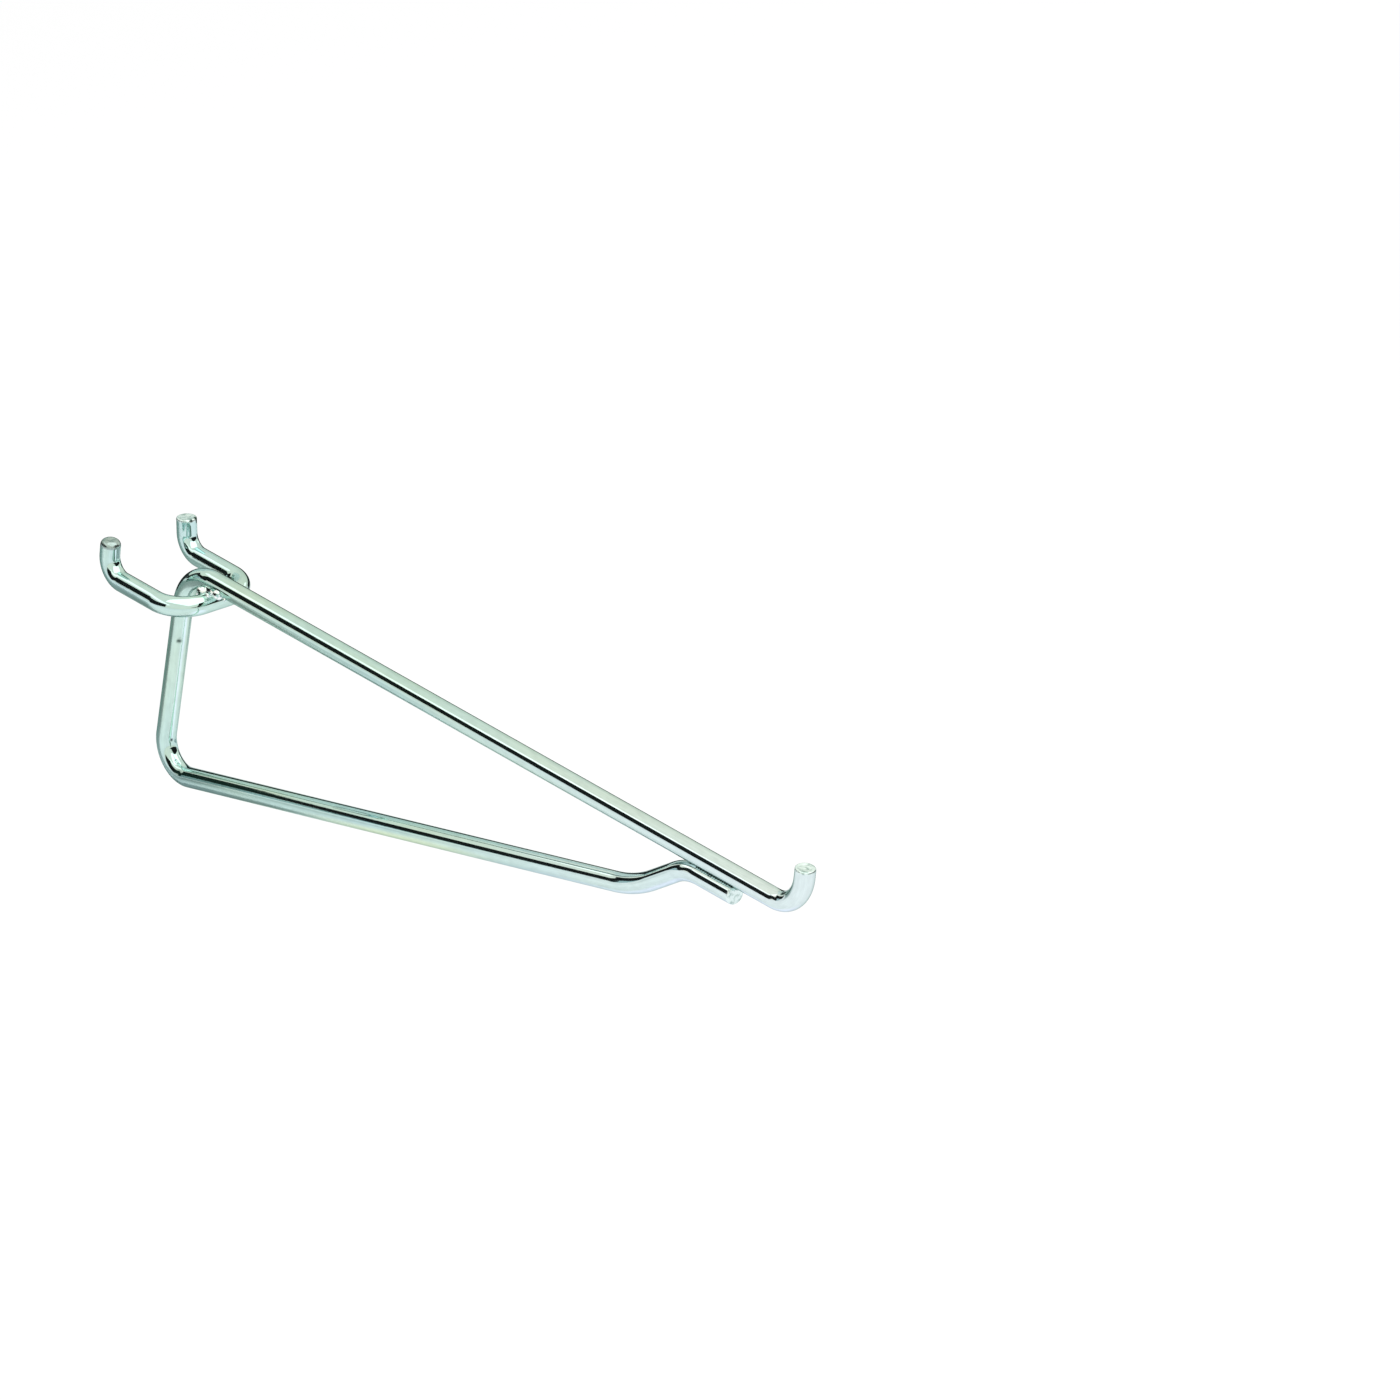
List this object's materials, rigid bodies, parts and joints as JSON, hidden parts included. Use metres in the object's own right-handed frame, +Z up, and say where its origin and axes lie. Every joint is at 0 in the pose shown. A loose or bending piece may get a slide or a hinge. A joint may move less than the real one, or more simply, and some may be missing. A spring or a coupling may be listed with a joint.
{
  "type": "pegboard shelf hook",
  "caption": "Welded wire pegboard hook: straight arm with an upturned tip, raked leg and brace below, and a wire staple whose upturned prongs hook behind the board.",
  "frame": {"origin": "midway between the two sides of the staple, at the height of their centre lines, in the plane of the board's front face, which the heel touches", "axes": "+X out of the board along the arm, +Z up with the arm level, Y across the hook from the left prong to the right one as seen by someone facing the board"},
  "size_m": [0.2704, 0.0308, 0.0765],
  "materials": {
    "zinc_wire": "bright zinc plate on drawn steel wire, faintly blue-green"
  },
  "bodies": {
    "root": {"bracket_wire": "zinc_wire", "peg_staple": "zinc_wire"}
  },
  "joints": []
}
